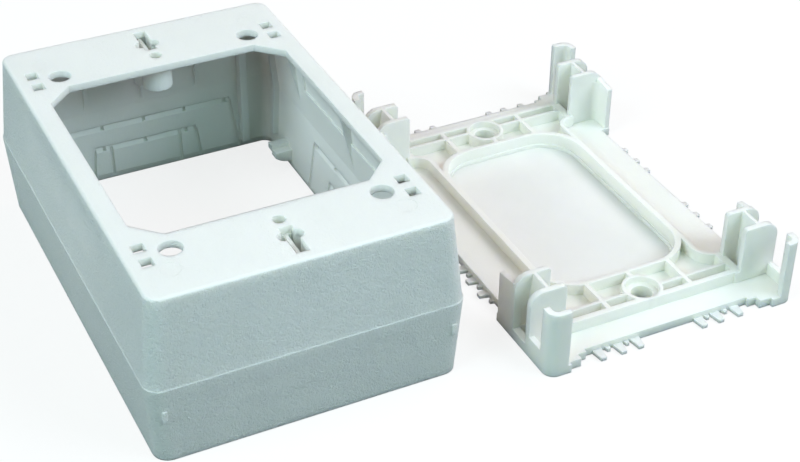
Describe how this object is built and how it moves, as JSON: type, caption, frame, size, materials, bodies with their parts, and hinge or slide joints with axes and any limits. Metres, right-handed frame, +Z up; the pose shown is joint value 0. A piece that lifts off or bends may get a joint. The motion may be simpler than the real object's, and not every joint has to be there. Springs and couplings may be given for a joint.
{
  "type": "surface raceway outlet box",
  "caption": "Deep plastic surface-mount outlet box, taken apart: the housing with its device mouth lies beside the wall plate whose corner towers it snaps over.",
  "frame": {"origin": "on the floor, in the middle of the rectangle that holds both pieces", "axes": "+Z up, along the depth of the box; +Y along the length of both pieces; +X from the housing towards the wall plate"},
  "size_m": [0.1678, 0.1318, 0.045],
  "materials": {
    "housing_plastic": "fine moulded grain",
    "backplate_plastic": "smooth moulded"
  },
  "bodies": {
    "root": {"housing": "housing_plastic", "backplate": "backplate_plastic"}
  },
  "joints": []
}
